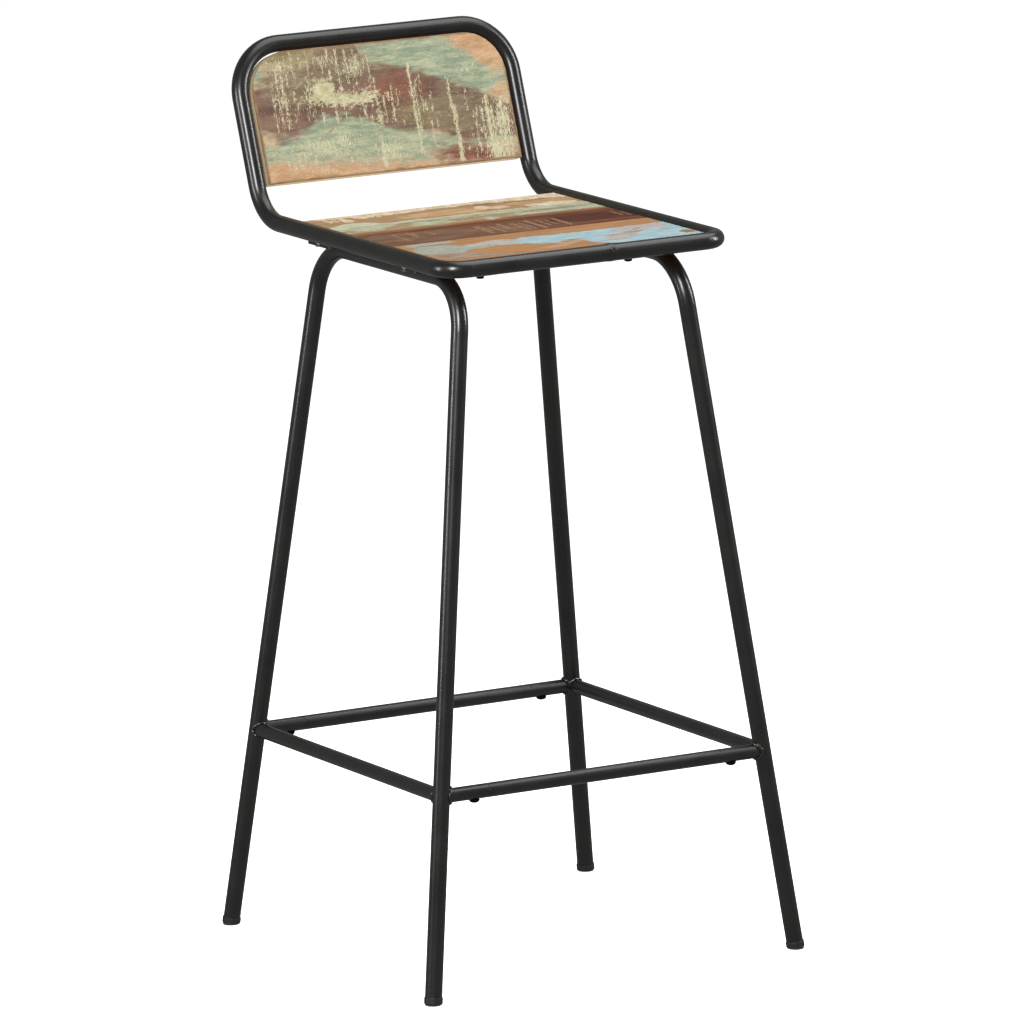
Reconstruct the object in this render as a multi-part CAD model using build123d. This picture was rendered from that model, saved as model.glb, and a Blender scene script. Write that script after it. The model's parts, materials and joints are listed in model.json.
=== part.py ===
from build123d import *
import os
from math import cos, radians, sin, sqrt

# Bar stool with footrest: a bent tube that is seat frame and back hoop in one, two
# bent leg frames, a footrest of four rails, four seat planks and a back board.
# Millimetres. +Z up, floor at z = 0, the sitter faces -Y, left and right mirror at x = 0.

# ---- Tubes ----
tube_d = 19.0            # legs, seat frame and back hoop
tube_wall = 1.5
rail_d = 16.0            # footrest rails
rail_wall = 1.2

# ---- Seat frame and back hoop: one closed loop, all on tube centrelines ----
seat_z = 794.0           # height of the seat part of the loop
seat_half_x = 174.0      # half the width between the two side runs
seat_front_y = -186.5    # front run
seat_back_y = 221.0      # where the hoop's line meets the seat's level
back_lean = 19.4         # degrees that the hoop leans back from upright
back_slope = 194.2       # from the seat's level to the top run, along the lean
front_bend_r = 25.0
rear_bend_r = 52.0
hoop_bend_r = 58.0

# ---- Leg frames, on tube centrelines ----
foot_x = 231.0           # where a leg's line meets the floor
foot_y = 226.0
top_bar_inset = 36.5     # from a side run in to the run below it, which joins two legs
top_bar_y = 151.5        # where a leg's line meets that run
leg_bend_r = 57.0

# ---- Feet ----
foot_lip = 0.8           # how far a foot's head stands out around the tube
foot_head_h = 8.5
foot_plug_l = 16.0
foot_edge_r = 1.6

# ---- Footrest ----
rest_z = 223.5           # height of the rails' centrelines
stub_l = 57.0            # from a leg's centreline to the seam with the loose rail
spigot_half_l = 27.0     # length of a spigot on each side of the seam
spigot_slide = 0.1       # radial clearance where the spigot slides into the stub
edge_break = 0.4         # chamfer on the cut ends that meet at the seam
rest_bolt_from_leg = 41.0
rest_bolt_d = 6.0
rest_bolt_head_d = 12.0
rest_bolt_head_h = 3.6
rest_bolt_head_round = 2.4
rest_bolt_hole_gap = 0.2
rest_bolt_tip = 2.0      # how far the bolt reaches past the spigot's middle
rest_bolt_socket = 4.0   # across the flats of the hexagon socket
rest_bolt_socket_h = 2.0

# ---- Mounting plates between leg frames and seat frame ----
plate_t = 3.0
plate_l = 54.0
plate_y = 94.0           # middle of each plate from the leg frame's middle
plate_past_bar = 7.5     # from the top bar's centreline to the plate's inner edge
plate_past_run = 2.0     # from the side run's centreline to the plate's outer edge
plate_corner_r = 6.0
frame_screw_d = 5.0
frame_screw_head_d = 9.4
frame_screw_head_h = 2.3
frame_screw_l = 12.0
insert_d = 8.0
insert_l = 12.0
frame_screw_socket = 3.0
frame_screw_socket_h = 1.2

# ---- Seat planks ----
plank_t = 12.0
plank_gap = 1.0          # between the planks and the tube around them
plank_widths = (134.0, 81.0, 53.0, 68.0)   # from the front plank to the rear one
plank_names = ("front", "second", "third", "rear")

# ---- Seat tabs, welded inside the loop under the planks ----
tab_t = 3.0
tab_w = 24.0
tab_reach = 30.0         # from the tube's centreline
tab_sink = 2.5           # from the tube's lowest line up to a tab's top
tab_root_rise = 0.9      # from the tube's lowest line up to where a tab's root meets it
tab_hole_from_end = 12.0
front_tab_in = (50.0, 112.0)   # from the left and from the right side run
middle_tab_y = 0.0
rear_tab_from_back = 77.0
seat_screw_d = 4.0
seat_screw_head = 8.0    # across the flats
seat_screw_head_h = 5.5
seat_screw_bite = 9.0    # length in the plank

# ---- Back board and its tabs ----
board_t = 16.0
board_sink = 1.5         # from the hoop's rearmost line forward to the board's back
board_side_gap = 2.5
board_top_gap = 0.9
board_corner_more = 0.5  # how much larger the board's corner radius is than the hoop's inside
board_h = 147.8
back_tab_slope = (62.0, 142.0)
back_screw_d = 4.0
back_screw_head_d = 8.4
back_screw_head_h = 2.6
back_screw_bite = 11.0

# ---- Fits ----
screw_gap = 0.05         # radial clearance of screws, bolts and inserts in their holes

# ---- Welds ----
bead = 2.2               # leg of a fillet weld
seam_in = 146.0          # from the right side run in to the butt weld that closes the loop
seam_w = 5.0
seam_rise = 0.4

# ---- What follows from them ----
tube_r = tube_d / 2
rail_r = rail_d / 2
foot_head_d = tube_d + 2 * foot_lip
top_bar_x = seat_half_x - top_bar_inset
top_bar_z = seat_z - tube_d - plate_t
tube_low = seat_z - tube_r
plate_low = tube_low - plate_t
plate_inner_x = top_bar_x - plate_past_bar
plate_outer_x = seat_half_x + plate_past_run
plank_low = tube_low + tab_sink
tab_low = plank_low - tab_t
tab_root = sqrt(tube_r**2 - (tube_r - tab_root_rise) ** 2)
board_back = board_sink - tube_r
planks_front_y = seat_front_y + tube_r + plank_gap
plank_half_x = seat_half_x - tube_r - plank_gap
sides = (("left", -1), ("right", 1))
ends = (("front", -1), ("rear", 1))

nodes = {}


def cut(solid, tools):
    """The solid less each tool in turn."""
    for tool in tools:
        solid = solid - tool
    return solid


def turned(profile, place):
    """Round piece from its half profile of (radius, height) points, upright at a place."""
    half = Plane.XZ * make_face(Polyline(*profile, close=True))
    return Pos(*place) * revolve(half, Axis.Z)


def rod(start, end, radius):
    """Solid round bar between two points."""
    start, end = Vector(start), Vector(end)
    along = end - start
    return Plane(origin=start, z_dir=along) * Cylinder(
        radius, along.length, align=(Align.CENTER, Align.CENTER, Align.MIN)
    )


def swept(path, radius, wall=0.0):
    """Round bar, or tube where a wall is given, along a path of runs and arcs."""
    section = Circle(radius)
    if wall:
        section -= Circle(radius - wall)
    return sweep(Plane(origin=path @ 0, z_dir=path % 0) * section, path=path)


def leg_point(side, end, height):
    """Point on a leg's centreline at a height above the floor."""
    share = height / top_bar_z
    x = foot_x + (top_bar_x - foot_x) * share
    y = foot_y + (top_bar_y - foot_y) * share
    return Vector(side * x, end * y, height)


# ---- Seat frame and back hoop ----
# Local frame of the hoop: x across, y up along the lean, z towards the sitter.
lean = radians(back_lean)
hoop_plane = Plane(
    origin=(0, seat_back_y, seat_z), x_dir=(1, 0, 0), z_dir=(0, -cos(lean), sin(lean))
)


def on_hoop(x, slope, forward=0.0):
    return hoop_plane.from_local_coords(Vector(x, slope, forward))


def loop_half(side):
    """Centreline from the middle of the front run to the middle of the top run."""
    return FilletPolyline(
        (0, seat_front_y, seat_z),
        (side * seat_half_x, seat_front_y, seat_z),
        (side * seat_half_x, seat_back_y, seat_z),
        on_hoop(side * seat_half_x, back_slope),
        on_hoop(0, back_slope),
        radius=[front_bend_r, rear_bend_r, hoop_bend_r],
    )


def loop(wall=0.0):
    return swept(loop_half(-1), tube_r, wall) + swept(loop_half(1), tube_r, wall)


loop_solid = loop()
insert_places = [(s * seat_half_x, e * plate_y) for _, s in sides for _, e in ends]
insert_holes = [
    rod((x, y, tube_low - tube_wall), (x, y, tube_low + insert_l), insert_d / 2 + screw_gap)
    for x, y in insert_places
]
nodes["seat_and_back_tube"] = cut(loop(tube_wall), insert_holes)

# ---- Leg frames ----


def leg_frame(side, wall=0.0):
    path = FilletPolyline(
        leg_point(side, -1, foot_head_h),
        leg_point(side, -1, top_bar_z),
        leg_point(side, 1, top_bar_z),
        leg_point(side, 1, foot_head_h),
        radius=leg_bend_r,
    )
    return swept(path, tube_r, wall)


leg_solids = {side: leg_frame(side) for _, side in sides}
for name, side in sides:
    nodes[f"leg_frame_{name}"] = leg_frame(side, tube_wall)

# ---- Foot caps: a plug in the tube and a head cut level with the floor ----


def foot_cap(side, end):
    root, above = leg_point(side, end, 0), leg_point(side, end, 100)
    up = (above - root).normalized()
    top = leg_point(side, end, foot_head_h)
    head = rod(root - up * foot_head_h, top, foot_head_d / 2)
    plug = rod(top, top + up * foot_plug_l, tube_r - tube_wall)
    floor_cut = Pos(root.X, root.Y, 0) * Box(
        3 * foot_head_d, 3 * foot_head_d, 3 * foot_head_h, align=(Align.CENTER, Align.CENTER, Align.MAX)
    )
    head = head - floor_cut
    return fillet(head.edges().group_by(Axis.Z)[0], foot_edge_r) + plug


for end_name, end in ends:
    for name, side in sides:
        nodes[f"foot_cap_{end_name}_{name}"] = foot_cap(side, end)

# ---- Footrest ----
rest_leg = leg_point(1, 1, rest_z)
stub_seam_x = rest_leg.X - stub_l
rest_bolt_x = rest_leg.X - rest_bolt_from_leg
rail_bore = rail_r - rail_wall


def rail_tube(start, end):
    return rod(start, end, rail_r) - rod(start, end, rail_bore)


def seam_end(side, end):
    """What is turned away around the outer edge of a cut end, as a ring at the seam."""
    place = Plane(origin=(side * stub_seam_x, end * rest_leg.Y, rest_z), z_dir=(1, 0, 0))
    profile = [(rail_r - edge_break, 0), (rail_r, edge_break), (rail_d, edge_break), (rail_d, -edge_break)]
    half = Plane.XZ * make_face(Polyline(*profile, (rail_r, -edge_break), close=True))
    return place * revolve(half, Axis.Z)


def rest_corner(side, end):
    return leg_point(side, end, rest_z)


def stub_rod(side, end):
    corner = rest_corner(side, end)
    return rod(corner, (side * stub_seam_x, corner.Y, rest_z), rail_r)


def rest_bolt(side, end):
    """Button-head bolt with a hexagon socket, pushed up through the stub into the spigot."""
    x, y, low = side * rest_bolt_x, end * rest_leg.Y, rest_z - rail_r
    head = rod((x, y, low - rest_bolt_head_h), (x, y, low), rest_bolt_head_d / 2)
    head = fillet(head.edges().group_by(Axis.Z)[0], rest_bolt_head_round)
    shank = rod((x, y, low), (x, y, rest_z + rest_bolt_tip), rest_bolt_d / 2)
    socket = Pos(x, y, low - rest_bolt_head_h) * extrude(
        RegularPolygon(rest_bolt_socket / 2, 6, major_radius=False), rest_bolt_socket_h
    )
    return head + shank - socket


def spigot(side, end):
    """Bar fixed in the loose rail, sliding in the stub, tapped for the bolt."""
    y = end * rest_leg.Y
    seam = side * stub_seam_x
    in_rail = rod((seam - side * spigot_half_l, y, rest_z), (seam, y, rest_z), rail_bore)
    in_stub = rod((seam, y, rest_z), (seam + side * spigot_half_l, y, rest_z), rail_bore - spigot_slide)
    x = side * rest_bolt_x
    tapped_r = rest_bolt_d / 2 + screw_gap
    tapped = rod((x, y, rest_z - rail_r), (x, y, rest_z + rest_bolt_tip + screw_gap), tapped_r)
    return in_rail + in_stub - tapped


def bolt_hole(side, end):
    x, y = side * rest_bolt_x, end * rest_leg.Y
    return rod((x, y, rest_z - rail_d), (x, y, rest_z), rest_bolt_d / 2 + rest_bolt_hole_gap)


leg_rods = [leg_solids[side] for _, side in sides]
stub_rods = [stub_rod(side, end) for _, side in sides for _, end in ends]
for name, side in sides:
    side_rail = rail_tube(rest_corner(side, -1), rest_corner(side, 1))
    nodes[f"footrest_rail_{name}"] = cut(side_rail, leg_rods + stub_rods)
for end_name, end in ends:
    y = end * rest_leg.Y
    loose_rail = rail_tube((-stub_seam_x, y, rest_z), (stub_seam_x, y, rest_z))
    nodes[f"footrest_rail_{end_name}"] = cut(loose_rail, [seam_end(s, end) for _, s in sides])
    for name, side in sides:
        corner = rest_corner(side, end)
        stub = rail_tube(corner, (side * stub_seam_x, corner.Y, rest_z))
        removed = leg_rods + [bolt_hole(side, end), seam_end(side, end)]
        nodes[f"footrest_stub_{end_name}_{name}"] = cut(stub, removed)
        nodes[f"footrest_spigot_{end_name}_{name}"] = spigot(side, end)
nodes["footrest_bolts"] = Compound([rest_bolt(s, e) for _, s in sides for _, e in ends])

# ---- Mounting plates, their screws and the inserts in the seat frame ----


def countersunk(x, y, gap=0.0):
    """Outline of a countersunk screw, or with a gap of the hole that it needs."""
    head_r, shank_r = frame_screw_head_d / 2 + gap, frame_screw_d / 2 + gap
    tip = frame_screw_l + gap
    profile = [(0, 0), (head_r, 0), (shank_r, frame_screw_head_h), (shank_r, tip), (0, tip)]
    return turned(profile, (x, y, plate_low))


def frame_screw(x, y):
    """Countersunk screw, flush under the plate, with a hexagon socket."""
    socket = extrude(RegularPolygon(frame_screw_socket / 2, 6, major_radius=False), frame_screw_socket_h)
    return countersunk(x, y) - Pos(x, y, plate_low) * socket


def insert(x, y):
    """Threaded sleeve welded into the seat frame, flush with the tube's lowest line."""
    outer, bore = insert_d / 2, frame_screw_d / 2 + screw_gap
    profile = [(bore, 0), (outer, 0), (outer, insert_l), (bore, insert_l)]
    return turned(profile, (x, y, tube_low))


def plate(side, end):
    middle = (plate_inner_x + plate_outer_x) / 2
    outline = RectangleRounded(plate_outer_x - plate_inner_x, plate_l, plate_corner_r)
    solid = Pos(side * middle, end * plate_y, plate_low) * extrude(outline, plate_t)
    return solid - countersunk(side * seat_half_x, end * plate_y, screw_gap)


for end_name, end in ends:
    for name, side in sides:
        nodes[f"mounting_plate_{end_name}_{name}"] = plate(side, end)
nodes["seat_frame_inserts"] = Compound([insert(x, y) for x, y in insert_places])
nodes["seat_frame_screws"] = Compound([frame_screw(x, y) for x, y in insert_places])

# ---- Seat planks, tabs and their screws ----


class Tab:
    """Place of a seat tab: its middle on a tube's centreline and the way it points in."""

    def __init__(self, name, x, y, turn):
        self.name = name
        self.plane = Plane(origin=(x, y, 0), x_dir=Vector(1, 0, 0).rotate(Axis.Z, turn), z_dir=(0, 0, 1))

    def at(self, reach, across=0.0, height=0.0):
        return self.plane.from_local_coords(Vector(reach, across, height))


tabs = []
for (name, side), inset in zip(sides, front_tab_in):
    tabs.append(Tab(f"front_{name}", side * (seat_half_x - inset), seat_front_y, 90))
    turn = 90 + side * 90
    tabs.append(Tab(f"{name}_middle", side * seat_half_x, middle_tab_y, turn))
    tabs.append(Tab(f"{name}_rear", side * seat_half_x, seat_back_y - rear_tab_from_back, turn))
screw_reach = tab_reach - tab_hole_from_end


def tab_plate(tab):
    length = tab_reach - tab_root
    outline = Rectangle(length, tab_w)
    solid = tab.plane * (Pos(tab_root + length / 2, 0, tab_low) * extrude(outline, tab_t))
    hole_r = seat_screw_d / 2 + screw_gap
    hole = rod(tab.at(screw_reach, 0, tab_low), tab.at(screw_reach, 0, plank_low), hole_r)
    return solid - loop_solid - hole


def seat_screw_shank(tab, gap=0.0):
    centre = tab.at(screw_reach, 0, tab_low)
    return rod(centre, centre + Vector(0, 0, tab_t + seat_screw_bite + gap), seat_screw_d / 2 + gap)


def seat_screw(tab):
    """Hexagon-head wood screw, from below through its tab into the plank."""
    head = extrude(RegularPolygon(seat_screw_head / 2, 6, major_radius=False), seat_screw_head_h)
    place = tab.at(screw_reach, 0, tab_low - seat_screw_head_h)
    return Pos(place.X, place.Y, place.Z) * head + seat_screw_shank(tab)


for tab in tabs:
    nodes[f"seat_tab_{tab.name}"] = tab_plate(tab)
nodes["seat_screws"] = Compound([seat_screw(tab) for tab in tabs])
pilot_holes = [seat_screw_shank(tab, screw_gap) for tab in tabs]

plank_front = planks_front_y
for name, width in zip(plank_names, plank_widths):
    outline = Rectangle(2 * plank_half_x, width)
    if name == plank_names[0]:
        front_corners = outline.vertices().group_by(Axis.Y)[0]
        outline = fillet(front_corners, front_bend_r - tube_r - plank_gap)
    solid = Pos(0, plank_front + width / 2, plank_low) * extrude(outline, plank_t)
    nodes[f"seat_plank_{name}"] = cut(solid, pilot_holes)
    plank_front += width

# ---- Back board, tabs and their screws ----
board_half_x = seat_half_x - tube_r - board_side_gap
board_top = back_slope - tube_r - board_top_gap
board_corner_r = hoop_bend_r - tube_r + board_corner_more
board_outline = Rectangle(2 * board_half_x, board_h)
board_outline = fillet(board_outline.vertices().group_by(Axis.Y)[-1], board_corner_r)
board = hoop_plane * (Pos(0, board_top - board_h / 2, board_back) * extrude(board_outline, board_t))


def back_tab(side, slope):
    length = tab_reach - tab_root
    middle = seat_half_x - tab_root - length / 2
    outline = Rectangle(length, tab_w)
    solid = hoop_plane * (Pos(side * middle, slope, board_back - tab_t) * extrude(outline, tab_t))
    return solid - loop_solid - back_screw_shank(side, slope, screw_gap)


def back_screw_shank(side, slope, gap=0.0):
    x = side * (seat_half_x - screw_reach)
    start = on_hoop(x, slope, board_back - tab_t)
    return rod(start, on_hoop(x, slope, board_back + back_screw_bite + gap), back_screw_d / 2 + gap)


def back_screw(side, slope):
    """Pan-head wood screw, from behind through its tab into the board."""
    x = side * (seat_half_x - screw_reach)
    seat = board_back - tab_t
    head = rod(on_hoop(x, slope, seat - back_screw_head_h), on_hoop(x, slope, seat), back_screw_head_d / 2)
    return head + back_screw_shank(side, slope)


back_screws, back_holes = [], []
for name, side in sides:
    for place, slope in zip(("lower", "upper"), back_tab_slope):
        nodes[f"back_tab_{name}_{place}"] = back_tab(side, slope)
        back_screws.append(back_screw(side, slope))
        back_holes.append(back_screw_shank(side, slope, screw_gap))
nodes["back_screws"] = Compound(back_screws)
nodes["back_board"] = cut(board, back_holes)

# ---- Welds ----


def ring_weld(side, end, far):
    """Fillet weld where a footrest tube runs into a leg."""
    corner = rest_corner(side, end)
    leg = rod(leg_point(side, end, rest_z - tube_d), leg_point(side, end, rest_z + tube_d), tube_r + bead)
    return rod(corner, corner + (far - corner).normalized() * tube_d, rail_r + bead) & leg


def plate_weld(side, end, inward):
    """Fillet weld along the crevice between a top bar and its mounting plate."""
    x = side * (top_bar_x - inward * tube_r / 2)
    z = plate_low - bead / 2
    y = end * plate_y
    half = plate_l / 2 - plate_corner_r
    return rod((x, y - half, z), (x, y + half, z), bead)


side_rods = [rod(rest_corner(s, -1), rest_corner(s, 1), rail_r) for _, s in sides]
plates = [nodes[f"mounting_plate_{e}_{s}"] for e, _ in ends for s, _ in sides]
for name, side in sides:
    rings = [ring_weld(side, end, rest_corner(side, -end)) for _, end in ends]
    rings += [ring_weld(side, end, rest_corner(-side, end)) for _, end in ends]
    runs = [plate_weld(side, end, way) for _, end in ends for way in (-1, 1)]
    welds = Part() + rings + runs
    nodes[f"leg_frame_welds_{name}"] = cut(welds, leg_rods + side_rods + stub_rods + plates)


def tab_weld(point_at):
    """Weld along a tab's root; point_at gives the place at a distance across the tab."""
    return rod(point_at(-tab_w / 2), point_at(tab_w / 2), bead / 2)


seam_at = Vector(seat_half_x - seam_in, seat_front_y, seat_z)
half_seam = Vector(seam_w / 2, 0, 0)
weld_low = tab_low + bead / 4
weld_back = board_back - tab_t + bead / 4
tab_welds = [tab_weld(lambda across: tab.at(tab_root, across, weld_low)) for tab in tabs]
for _, side in sides:
    x = side * (seat_half_x - tab_root)
    for slope in back_tab_slope:
        tab_welds.append(tab_weld(lambda across: on_hoop(x, slope + across, weld_back)))
all_tabs = [solid for name, solid in nodes.items() if "_tab_" in name]
seam = rod(seam_at - half_seam, seam_at + half_seam, tube_r + seam_rise)
nodes["seat_frame_welds"] = cut(Part() + tab_welds + seam, [loop_solid] + all_tabs)

# ---- Origin under the middle of the whole, then one file for each node ----
box = Compound([Part() + solid for solid in nodes.values()]).bounding_box()
centre = Pos(0, -(box.min.Y + box.max.Y) / 2, 0)
os.makedirs("parts", exist_ok=True)
for name, solid in nodes.items():
    export_step(centre * solid, f"parts/{name}.step")
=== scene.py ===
import json
import math

import bpy
import numpy as np
from mathutils import Matrix, Vector


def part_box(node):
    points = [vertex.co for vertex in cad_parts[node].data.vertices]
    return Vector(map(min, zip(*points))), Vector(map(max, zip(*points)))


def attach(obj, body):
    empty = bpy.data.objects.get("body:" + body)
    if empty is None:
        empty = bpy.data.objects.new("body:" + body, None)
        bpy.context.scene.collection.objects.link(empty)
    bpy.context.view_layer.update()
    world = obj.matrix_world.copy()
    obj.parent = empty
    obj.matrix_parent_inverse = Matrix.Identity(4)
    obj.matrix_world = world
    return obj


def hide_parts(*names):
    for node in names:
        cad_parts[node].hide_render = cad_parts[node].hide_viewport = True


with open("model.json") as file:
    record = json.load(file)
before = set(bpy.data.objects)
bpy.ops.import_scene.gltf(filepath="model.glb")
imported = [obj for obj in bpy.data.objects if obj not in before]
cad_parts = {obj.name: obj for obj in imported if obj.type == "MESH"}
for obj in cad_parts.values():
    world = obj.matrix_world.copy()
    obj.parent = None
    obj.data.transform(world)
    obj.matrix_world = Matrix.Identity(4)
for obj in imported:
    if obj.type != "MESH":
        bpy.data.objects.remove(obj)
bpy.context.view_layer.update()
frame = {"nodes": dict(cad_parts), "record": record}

nodes = frame["nodes"]
MM = 0.001

# ---- Leg frames, footrest and seat frame: the welded tubes ----
# Mild steel tube, 19 mm for the legs and the seat loop and 16 mm for the footrest,
# bent cold round formers, welded, then sprayed with satin black powder and baked.


def linear(hex_colour):
    """sRGB hex to linear red, green, blue and alpha."""
    parts = [int(hex_colour[i : i + 2], 16) / 255 for i in (1, 3, 5)]
    return [c / 12.92 if c <= 0.04045 else ((c + 0.055) / 1.055) ** 2.4 for c in parts] + [1.0]


def new_material(name):
    """An empty node material, its tree and its Principled shader."""
    material = bpy.data.materials.new(name)
    material.use_nodes = True
    tree = material.node_tree
    return material, tree, tree.nodes["Principled BSDF"]


def add(tree, kind, inputs=(), **settings):
    """Add a node: settings go on the node, inputs are values or sockets, keyed by name or place."""
    made = tree.nodes.new(kind)
    for name, value in settings.items():
        setattr(made, name, value)
    for key, value in dict(inputs).items():
        if isinstance(value, bpy.types.NodeSocket):
            tree.links.new(value, made.inputs[key])
        else:
            made.inputs[key].default_value = value
    return made


def powder_coat(name, peel_mm, peel_depth_mm):
    """Baked polyester powder: near-black, satin, with the fine orange peel of a sprayed coat."""
    material, tree, shader = new_material(name)
    cloud_mm = 40
    place = add(tree, "ShaderNodeTexCoord").outputs["Object"]
    peel = add(tree, "ShaderNodeTexNoise", {"Vector": place, "Scale": 1 / (peel_mm * MM), "Detail": 2.0})
    cloud = add(tree, "ShaderNodeTexNoise", {"Vector": place, "Scale": 1 / (cloud_mm * MM), "Detail": 4.0})
    tint = add(
        tree,
        "ShaderNodeMix",
        {0: cloud.outputs["Fac"], 6: linear("#090909"), 7: linear("#131211")},
        data_type="RGBA",
    )
    sheen = add(
        tree,
        "ShaderNodeMapRange",
        {"Value": cloud.outputs["Fac"], "From Min": 0.3, "From Max": 0.7, "To Min": 0.25, "To Max": 0.33},
    )
    bump = add(
        tree,
        "ShaderNodeBump",
        {"Height": peel.outputs["Fac"], "Strength": 0.06, "Distance": peel_depth_mm * MM},
    )
    tree.links.new(tint.outputs[2], shader.inputs["Base Color"])
    tree.links.new(sheen.outputs["Result"], shader.inputs["Roughness"])
    tree.links.new(bump.outputs["Normal"], shader.inputs["Normal"])
    shader.inputs["Specular IOR Level"].default_value = 0.45
    return material


def coat(node_name, material):
    """Give a CAD node its finish."""
    solid = nodes[node_name]
    solid.data.materials.clear()
    solid.data.materials.append(material)


satin_black = powder_coat("satin_black_powder_coat", 1.6, 0.05)
for node_name in nodes:
    coat(node_name, satin_black)

# ---- Seat planks and back board: reclaimed painted wood ----
# Offcuts of old painted boards, planed to thickness, sanded through their paint and
# sealed with a thin clear lacquer. The planks lie side by side inside the seat loop.
EDGE_STEPS = (0.0, 0.12, 0.4, 0.8, 1.4)
GRIT_MM = 2.2  # how far fine wear eats into the edge of a paint


def spaced(low, high, step):
    """Places from low to high, with close ones at both ends for a rounded edge."""
    inner = np.linspace(low + EDGE_STEPS[-1], high - EDGE_STEPS[-1], int((high - low) / step))
    ends = np.array(EDGE_STEPS[:-1])
    return np.concatenate([low + ends, inner, (high - ends)[::-1]])


def mottle(x, y, size_x, size_y, seed):
    """Smooth random field from -1 to 1, with patches of the given size."""
    columns, rows = 97, 89
    grid = np.random.default_rng(seed).uniform(-1, 1, (columns, rows))
    x, y = x / size_x + 13.3, y / size_y + 7.7
    i, j = np.floor(x).astype(int), np.floor(y).astype(int)
    s, t = x - i, y - j
    s, t = s * s * (3 - 2 * s), t * t * (3 - 2 * t)
    i, i_next, j, j_next = i % columns, (i + 1) % columns, j % rows, (j + 1) % rows
    low = grid[i, j] * (1 - s) + grid[i_next, j] * s
    high = grid[i, j_next] * (1 - s) + grid[i_next, j_next] * s
    return low * (1 - t) + high * t


def spot(u, v, at_u, at_v, half_u, half_v, turn=0.0):
    """Millimetres inside the edge of an oval patch; below zero outside it."""
    c, s = math.cos(math.radians(turn)), math.sin(math.radians(turn))
    du, dv = u - at_u, v - at_v
    across = np.hypot((du * c + dv * s) / half_u, (dv * c - du * s) / half_v)
    return (1 - across) * min(half_u, half_v)


def haze(u, v, at_u, at_v, half_u, half_v, level, turn=0.0):
    """An oval of the given level at its middle, falling off by its half size at its edge."""
    return level - min(half_u, half_v) + spot(u, v, at_u, at_v, half_u, half_v, turn)


def stroke(u, v, start, end, half):
    """Millimetres inside the edge of a straight stroke with tapered ends."""
    (u0, v0), (u1, v1) = start, end
    length2 = (u1 - u0) ** 2 + (v1 - v0) ** 2
    t = ((u - u0) * (u1 - u0) + (v - v0) * (v1 - v0)) / length2
    near = np.clip(t, 0, 1)
    away = np.hypot(u - u0 - near * (u1 - u0), v - v0 - near * (v1 - v0))
    return half - away


def between(u, v, knots):
    """Millimetres inside a band whose lower and upper edges pass through knots of (u, low, high)."""
    us, lows, highs = zip(*knots)
    return np.minimum(v - np.interp(u, us, lows), np.interp(u, us, highs) - v)


def linked(name, data):
    """An object of this data, linked to the scene."""
    made = bpy.data.objects.new(name, data)
    bpy.context.scene.collection.objects.link(made)
    return made


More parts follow.
